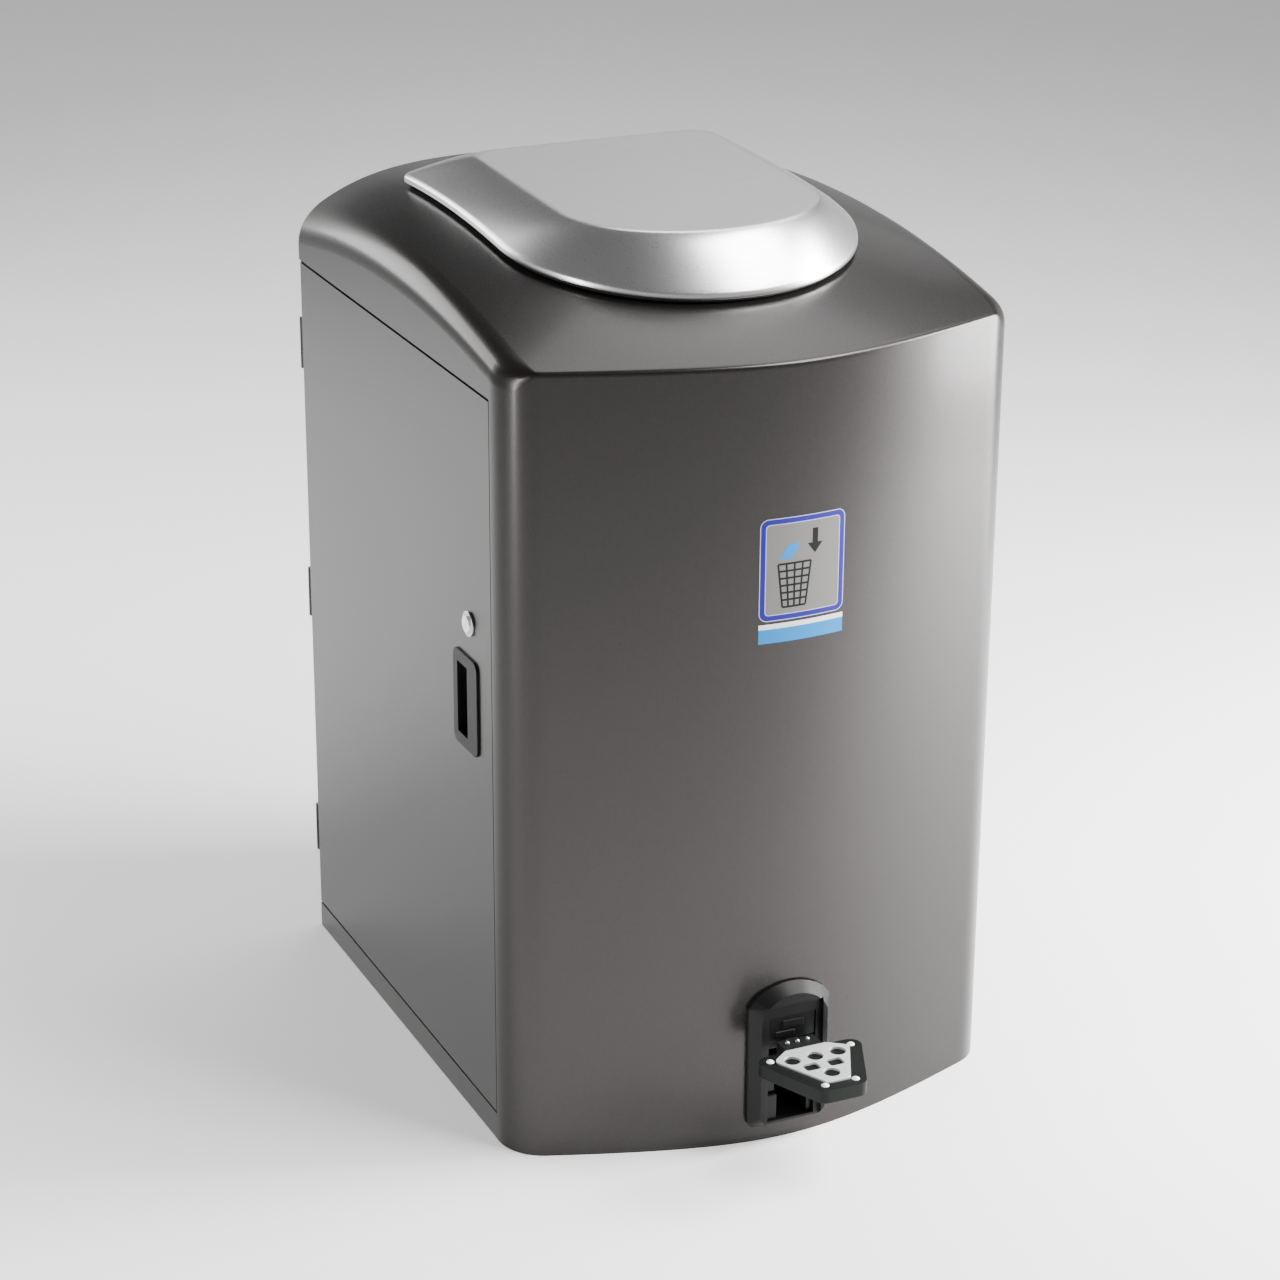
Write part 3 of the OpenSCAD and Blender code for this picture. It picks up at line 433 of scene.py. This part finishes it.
def inside_d(x, y, half, nose, middle_y, rear):
    """Whether a point lies in a plan with a rounded nose and straight sides."""
    if y > middle_y:
        return abs(x) < half and y < rear
    return (x / half) ** 2 + ((y - middle_y) / nose) ** 2 < 1


TINY = 1e-12


def nearest_on(loop, spot):
    """The point of a closed loop that is nearest to a spot."""
    best = None
    for a, b in zip(loop, loop[1:] + loop[:1]):
        along = b - a
        share = max(0.0, min(1.0, (spot - a).dot(along) / max(along.length_squared, TINY)))
        point = a + along * share
        if best is None or (point - spot).length < (best - spot).length:
            best = point
    return best


def cut_inlet(bm):
    """Opens the dome under the lid and draws the edge of the hole to a clean outline."""
    inner = [f for f in bm.faces if inside_d(*f.calc_center_median().xy, *INLET)
             and f.calc_center_median().z > FRONT_EDGE_Z]
    bmesh.ops.delete(bm, geom=inner, context="FACES")
    for v in bm.verts:
        if v.is_boundary and inside_d(*v.co.xy, *LID):
            spot = nearest_on(INLET_EDGE, v.co.xy)
            v.co = (spot.x, spot.y, dome_z(spot.x, spot.y))


# ---------- lid ----------

lid_low, lid_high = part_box("lid_shell")
LID_MIDDLE_Y = -0.070
LID = (lid_high.x, LID_MIDDLE_Y - lid_low.y, LID_MIDDLE_Y, lid_high.y)
FLAT = (0.143, 0.110, -0.112, 0.145)
FLAT_TILT = math.radians(1.8)
FLAT_Z = lid_high.z - math.tan(FLAT_TILT) * FLAT[3]
LID_CORNER = 0.014
FLAT_CORNER = 0.030
RIM_GAP = 0.005
RIM_H = 0.008
LID_T = 0.0015


def flat_z(y):
    return FLAT_Z + math.tan(FLAT_TILT) * y


SIDE_STEPS = 14
NOSE_STEPS = 72
TURN_STEPS = 6
REAR_STEPS = 24


def d_outline(half, nose, middle_y, rear, radius):
    """The lid's plan: a rounded nose, straight sides and a straight rear with rounded corners."""
    side = rear - radius
    points = [Vector((-half, side + (middle_y - side) * k / SIDE_STEPS)) for k in range(SIDE_STEPS)]
    for k in range(NOSE_STEPS + 1):
        a = math.pi * k / NOSE_STEPS
        points.append(Vector((-half * math.cos(a), middle_y - nose * math.sin(a))))
    points += [Vector((half, middle_y + (side - middle_y) * k / SIDE_STEPS))
               for k in range(1, SIDE_STEPS + 1)]
    for k in range(1, TURN_STEPS):
        a = math.pi / 2 * k / TURN_STEPS
        points.append(Vector((half - radius + radius * math.cos(a), side + radius * math.sin(a))))
    points += [Vector(((half - radius) * (1 - 2 * k / REAR_STEPS), rear)) for k in range(REAR_STEPS + 1)]
    for k in range(1, TURN_STEPS):
        a = math.pi / 2 * (1 + k / TURN_STEPS)
        points.append(Vector((radius - half + radius * math.cos(a), side + radius * math.sin(a))))
    return points


INLET_EDGE = d_outline(*INLET, 0.006)


def shrunk(sizes, by, radius):
    """The same outline drawn in by a distance all round."""
    half, nose, middle_y, rear = sizes
    return d_outline(half - by, nose - by, middle_y, rear - by, radius)


def rim_loop(inset, up):
    return [Vector((p.x, p.y, dome_z(p.x, p.y) + up)) for p in shrunk(LID, inset, LID_CORNER)]


def flank_loop(share, inset=0.0, drop=0.0):
    """Between the rim and the flat: steep at the rim, easing off towards the flat."""
    loop = []
    for a, b in zip(shrunk(LID, 0.0012 + inset, LID_CORNER), shrunk(FLAT, inset, FLAT_CORNER)):
        p = a.lerp(b, share)
        low = dome_z(a.x, a.y) + RIM_GAP + RIM_H
        rise = (flat_z(b.y) - low) * (1 - (1 - share) ** 1.25)
        loop.append(Vector((p.x, p.y, low + rise - drop)))
    return loop


def flat_loop(inset, drop=0.0):
    return [Vector((p.x, p.y, flat_z(p.y) - drop)) for p in shrunk(FLAT, inset, FLAT_CORNER)]


def lid_shell():
    bm = bmesh.new()
    roll = [(0.0015, RIM_GAP), (0.0004, RIM_GAP + 0.0006), (0, RIM_GAP + 0.002),
            (0, RIM_GAP + RIM_H - 0.003), (0.0006, RIM_GAP + RIM_H - 0.001)]
    outer = [rim_loop(inset, up) for inset, up in roll]
    outer += [flank_loop(s / 16) for s in range(17)]
    outer += [flat_loop(0.004), flat_loop(0.020)]
    inner = [flat_loop(0.020, LID_T), flat_loop(0.004, LID_T)]
    inner += [flank_loop(s / 16, LID_T, LID_T) for s in range(16, -1, -2)]
    inner += [rim_loop(0.003, RIM_GAP)]
    top = add_loops(bm, outer)
    under = add_loops(bm, inner)
    bm.faces.new(top[-1])
    bm.faces.new(under[0])
    for i in range(len(top[0])):
        j = (i + 1) % len(top[0])
        bm.faces.new((top[0][i], top[0][j], under[-1][j], under[-1][i]))
    piece("lid_shell_skin", bm, "lid", "lid_steel", ["lid_shell"], sharp=60)


def lid_seal():
    """A soft lip under the rim."""
    bm = bmesh.new()
    lip = [(0.0045, 0.0046), (0.0042, 0.0020), (0.0050, 0.0010), (0.0080, 0.0009), (0.0112, 0.0012),
           (0.0118, 0.0024), (0.0118, 0.0085), (0.0105, 0.0085), (0.0090, 0.0050)]
    loops = [rim_loop(inset, up) for inset, up in lip]
    rows = add_loops(bm, loops)
    n = len(rows[0])
    for i in range(n):
        j = (i + 1) % n
        bm.faces.new((rows[-1][i], rows[-1][j], rows[0][j], rows[0][i]))
    piece("lid_seal_lip", bm, "lid", "seal_rubber", ["lid_seal"], sharp=50)


# ---------- label ----------

label_low, label_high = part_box("front_label")
LABEL_X = (label_low.x + label_high.x) / 2
LABEL_HALF = (label_high.x - label_low.x) / 2
STRIP_TOP = label_low.z + 0.021
FRAME_MIDDLE_Z = (STRIP_TOP + 0.003 + label_high.z) / 2
FRAME_HALF_H = (label_high.z - STRIP_TOP - 0.003) / 2
PRINT_STEP = 0.004


def rounded_rect(half_w, half_h, radius, cx, cz, steps=8):
    points = []
    for cx_sign, cz_sign, start in ((1, 1, 0), (-1, 1, 90), (-1, -1, 180), (1, -1, 270)):
        for k in range(steps + 1):
            a = math.radians(start + 90 * k / steps)
            points.append((cx + cx_sign * (half_w - radius) + radius * math.cos(a),
                           cz + cz_sign * (half_h - radius) + radius * math.sin(a)))
    return points


def flat_face(bm, points, lift, ink):
    face = bm.faces.new([bm.verts.new((x, lift, z)) for x, z in points])
    face.material_index = ink


def flat_ring(bm, outer, inner, lift, ink):
    a = [bm.verts.new((x, lift, z)) for x, z in outer]
    b = [bm.verts.new((x, lift, z)) for x, z in inner]
    for i in range(len(a)):
        j = (i + 1) % len(a)
        face = bm.faces.new((a[i], a[j], b[j], b[i]))
        face.material_index = ink


def basket(bm, cx, cz, lift):
    """A waste basket drawn as crossing bars, wider at its top."""
    top, foot, half_h, bar = 0.0185, 0.0130, 0.0235, 0.0011

    def half_at(z):
        return foot + (top - foot) * (z - cz + half_h) / (2 * half_h)

    for k in range(7):
        z = cz - half_h + 2 * half_h * k / 6
        low, high = z - bar, z + bar
        corners = [(-half_at(low), low), (half_at(low), low), (half_at(high), high), (-half_at(high), high)]
        flat_face(bm, [(cx + x, y) for x, y in corners], lift, BLACK)
    for k in range(5):
        share = k / 2 - 1
        low, high = cz - half_h, cz + half_h
        corners = [(share * foot - bar, low), (share * foot + bar, low),
                   (share * top + bar, high), (share * top - bar, high)]
        flat_face(bm, [(cx + x, y) for x, y in corners], lift + 0.00001, BLACK)


def arrow(bm, cx, tip_z, lift):
    """A plain arrow that points down."""
    shaft, head, neck_z, top_z = 0.0032, 0.0088, tip_z + 0.0115, tip_z + 0.0270
    points = [(0, tip_z), (head, neck_z), (shaft, neck_z), (shaft, top_z), (-shaft, top_z),
              (-shaft, neck_z), (-head, neck_z)]
    flat_face(bm, [(cx + x, z) for x, z in points], lift, BLACK)


def front_label():
    """A generic pictogram: a framed basket with a sheet and an arrow above it, over a plain strip."""
    bm = bmesh.new()
    cx, cz = LABEL_X, FRAME_MIDDLE_Z
    w, h = LABEL_HALF, FRAME_HALF_H
    film, ink = 0.00032, 0.00038
    flat_face(bm, rounded_rect(w, h, 0.009, cx, cz), film, FILM)
    rings = [(0.0, 0.0008, 0.009, PALE, ink), (0.0008, 0.0062, 0.0085, BLUE, ink),
             (0.0062, 0.0070, 0.0050, PALE, ink)]
    for outer, inner, radius, colour, lift in rings:
        flat_ring(bm, rounded_rect(w - outer, h - outer, radius, cx, cz),
                  rounded_rect(w - inner, h - inner, max(0.003, radius - inner + outer), cx, cz),
                  lift, colour)
    basket(bm, cx - 0.010, cz - 0.018, ink)
    arrow(bm, cx + 0.013, cz + 0.013, ink)
    sheet = [(-0.024, 0.0105), (-0.010, 0.0105), (-0.001, 0.0265), (-0.015, 0.0265)]
    flat_face(bm, [(cx - 0.003 + x, cz + z) for x, z in sheet], ink, CYAN)
    band = STRIP_TOP - 0.0055
    for low, high, colour in ((label_low.z, band, CYAN), (band, STRIP_TOP, WHITE)):
        flat_face(bm, [(cx - w, low), (cx + w, low), (cx + w, high), (cx - w, high)], film, colour)
    x = cx - w + PRINT_STEP
    while x < cx + w:
        geom = bm.verts[:] + bm.edges[:] + bm.faces[:]
        bmesh.ops.bisect_plane(bm, geom=geom, plane_co=(x, 0, 0), plane_no=(1, 0, 0))
        x += PRINT_STEP
    for v in bm.verts:
        v.co = on_front(v.co.x, v.co.z, v.co.y)
    for face in bm.faces:
        face.normal_update()
        if face.normal.y > 0:
            face.normal_flip()
        face.smooth = True
    mesh = bpy.data.meshes.new("front_label_print")
    bm.to_mesh(mesh)
    bm.free()
    for ink_finish in PRINT:
        mesh.materials.append(ink_finish)
    obj = bpy.data.objects.new("front_label_print", mesh)
    bpy.context.scene.collection.objects.link(obj)
    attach(obj, "cabinet")
    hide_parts("front_label")


# ---------- details round the pedal ----------


def surround_steps():
    """Moulded steps inside the surround's opening, beside and above the lever."""
    bm = bmesh.new()
    face_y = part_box("pedal_surround")[0].y + 0.0075
    deep = face_y + 0.022
    blocks = [
        ((-0.0278, face_y, 0.124), (0.0278, deep, 0.1528)),
        ((-0.0278, face_y + 0.006, 0.112), (0.010, deep, 0.125)),
        ((-0.0278, face_y + 0.003, 0.086), (-0.0150, deep, 0.104)),
        ((-0.0278, face_y + 0.006, 0.060), (-0.0160, deep, 0.083)),
        ((-0.0278, face_y + 0.002, 0.0282), (-0.0150, deep, 0.058)),
        ((0.0215, face_y + 0.004, 0.0282), (0.0278, deep, 0.122)),
        ((-0.012, face_y + 0.002, 0.1385), (0.014, face_y - 0.0015, 0.1475)),
        ((-0.020, face_y + 0.002, 0.1285), (0.004, face_y - 0.0010, 0.1350)),
    ]
    for a, b in blocks:
        add_bar(bm, [min(p) for p in zip(a, b)], [max(p) for p in zip(a, b)])
    piece("surround_steps", bm, "cabinet", "black_plastic", bevel=0.0014, segments=3)


def cap_screw(name, spot, body, radius=0.0026):
    """A small bright button-head screw, pointing up."""
    bm = bmesh.new()
    profile = [(1.0, -0.0006), (1.0, 0.0003), (0.86, 0.0012), (0.55, 0.0018), (0.42, 0.0019),
               (0.36, 0.0011)]
    loops = []
    for share, up in profile:
        loops.append([Vector((spot[0] + radius * share * math.cos(math.tau * k / 20),
                              spot[1] + radius * share * math.sin(math.tau * k / 20), spot[2] + up))
                      for k in range(20)])
    rows = add_loops(bm, loops)
    bm.faces.new(rows[-1])
    bm.faces.new(rows[0])
    piece(name, bm, body, "bright_steel", sharp=40)


NECK_SCREW_X = -0.013
NECK_SCREW_STEP = 0.012


def pedal_screws():
    """Three small screws across the neck of the pedal."""
    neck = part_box("pedal_base")[1]
    for k in range(3):
        x = NECK_SCREW_X + NECK_SCREW_STEP * k
        cap_screw(f"pedal_neck_screw_{k + 1}", (x, neck.y - 0.007, neck.z + 0.0005), "pedal")


front_panel()
top_cover()
lid_shell()
lid_seal()
front_label()
surround_steps()
pedal_screws()

# Edge radius of each CAD node that keeps its shape and gets rounded edges.
ROUNDED = {
    "door_panel": 0.0008, "door_sill": 0.0006, "right_side_panel": 0.0006, "rear_panel": 0.0005,
    "door_inner_pan": 0.0008, "front_posts": 0.0008, "rear_posts": 0.0008, "upper_frame": 0.0010,
    "bin_shelf": 0.0006, "bin_guides": 0.0015, "base_pan": 0.0005, "lid_inner_pan": 0.0006,
    "lid_hinge_brackets": 0.0005, "lid_hinge_arms": 0.0005, "door_handle": 0.0011,
    "door_hinge_leaves": 0.0003, "cabinet_hinge_leaves": 0.0003, "lock_escutcheon": 0.0006,
    "lock_barrel": 0.0007, "lock_cam": 0.0004, "pedal_surround": 0.0018, "pedal_lever": 0.0012,
    "pedal_base": 0.0022, "pedal_tread_plate": 0.0006, "pedal_pivot_brackets": 0.0006,
    "press_crank": 0.0005, "press_arms": 0.0006, "press_plate": 0.0005, "link_rod": 0.0005,
    "press_bearing_brackets": 0.0006, "press_shaft_collars": 0.0006, "press_bushes": 0.0004,
    "pedal_bush": 0.0004, "waste_bin": 0.0012, "bin_handle": 0.0020, "spring_anchor": 0.0005,
    "press_shaft": 0.0010, "panel_screws": 0.0005, "crank_pin": 0.0005, "link_pin": 0.0005,
    "pedal_pivot_pin": 0.0008, "lid_hinge_pins": 0.0004, "door_hinge_pins": 0.0004,
}
for node, width in ROUNDED.items():
    refined(node, width, 3 if width > 0.001 else 2)

for node, obj in frame["nodes"].items():
    obj.data.materials.clear()
    obj.data.materials.append(FINISH[SLOT_OF[node]])

# ---------- studio ----------

FLOOR_R = 9
CURL_R = 4
FLOOR_GLOW = 0.24
SKY_GLOW = 0.14


def studio_floor():
    """A wide round floor whose edge curls up into a backdrop."""
    bm = bmesh.new()
    profile = [(FLOOR_R * k / 6, 0) for k in range(1, 7)]
    for k in range(1, 13):
        a = math.pi / 2 * k / 12
        profile.append((FLOOR_R + CURL_R * math.sin(a), CURL_R * (1 - math.cos(a))))
    rows = add_loops(bm, [[Vector((r * math.cos(math.tau * k / 96), r * math.sin(math.tau * k / 96), z))
                           for k in range(96)] for r, z in profile])
    bm.faces.new(reversed(rows[0]))
    bmesh.ops.reverse_faces(bm, faces=bm.faces)
    for face in bm.faces:
        face.smooth = True
    mesh = bpy.data.meshes.new("studio_floor")
    bm.to_mesh(mesh)
    bm.free()
    mesh.materials.append(glowing_floor())
    floor = bpy.data.objects.new("studio_floor", mesh)
    bpy.context.scene.collection.objects.link(floor)


def glowing_floor():
    """Pale matt paper, lit a little from within so that only a soft contact shadow stays."""
    mat = material("pale_floor", (252, 252, 252), 0.8, grain=40, bump=0, tone=0.003)
    shader = mat.node_tree.nodes["Principled BSDF"]
    shader.inputs["Emission Color"].default_value = (1, 1, 1, 1)
    shader.inputs["Emission Strength"].default_value = FLOOR_GLOW
    return mat


def softbox(name, azimuth, elevation, distance, size, power):
    """A rectangular area light that looks at the middle of the cabinet."""
    target = Vector((0, 0, 0.5))
    a, e = math.radians(azimuth), math.radians(elevation)
    away = Vector((math.sin(a) * math.cos(e), -math.cos(a) * math.cos(e), math.sin(e)))
    data = bpy.data.lights.new(name, "AREA")
    data.shape = "RECTANGLE"
    data.size, data.size_y = size
    data.energy = power
    light = bpy.data.objects.new(name, data)
    light.location = target + away * distance
    light.rotation_euler = (-away).to_track_quat("-Z", "Y").to_euler()
    bpy.context.scene.collection.objects.link(light)


def world_light():
    """A dim even light from all round."""
    world = bpy.data.worlds.new("studio")
    bpy.context.scene.world = world
    world.use_nodes = True
    sky = world.node_tree.nodes["Background"]
    sky.inputs["Color"].default_value = (1, 1, 1, 1)
    sky.inputs["Strength"].default_value = SKY_GLOW


studio_floor()
world_light()
softbox("right_key", 70, 14, 2.4, (0.8, 2.0), 290)
softbox("left_soft", -147, 22, 3.2, (1.5, 1.6), 60)
softbox("corner_strip", -76, 6, 3.0, (0.3, 2.0), 52)
softbox("high_front", 44, 52, 2.8, (1.5, 1.4), 150)
softbox("back_soft", 152, 27, 5.0, (2.6, 1.2), 9)
softbox("overhead", 128, 62, 2.8, (1.9, 1.7), 36)

# ---------- camera ----------

CAMERA_AT = Vector((-1.4907, -3.2340, 1.8700))
CAMERA_AZIMUTH = math.radians(-24.73)
CAMERA_ELEVATION = math.radians(21.87)
CAMERA_ROLL = math.radians(0.33)
LENS = 94.87


def studio_camera():
    forward = Vector((-math.sin(CAMERA_AZIMUTH) * math.cos(CAMERA_ELEVATION),
                      math.cos(CAMERA_AZIMUTH) * math.cos(CAMERA_ELEVATION),
                      -math.sin(CAMERA_ELEVATION)))
    level_right = forward.cross(Vector((0, 0, 1))).normalized()
    level_up = level_right.cross(forward)
    right = level_right * math.cos(CAMERA_ROLL) + level_up * math.sin(CAMERA_ROLL)
    up = level_up * math.cos(CAMERA_ROLL) - level_right * math.sin(CAMERA_ROLL)
    data = bpy.data.cameras.new("studio_camera")
    data.lens = LENS
    data.sensor_width = 36
    camera = bpy.data.objects.new("studio_camera", data)
    turn = Matrix((right, up, -forward)).transposed().to_4x4()
    camera.matrix_world = Matrix.Translation(CAMERA_AT) @ turn
    bpy.context.scene.collection.objects.link(camera)
    bpy.context.scene.camera = camera


studio_camera()
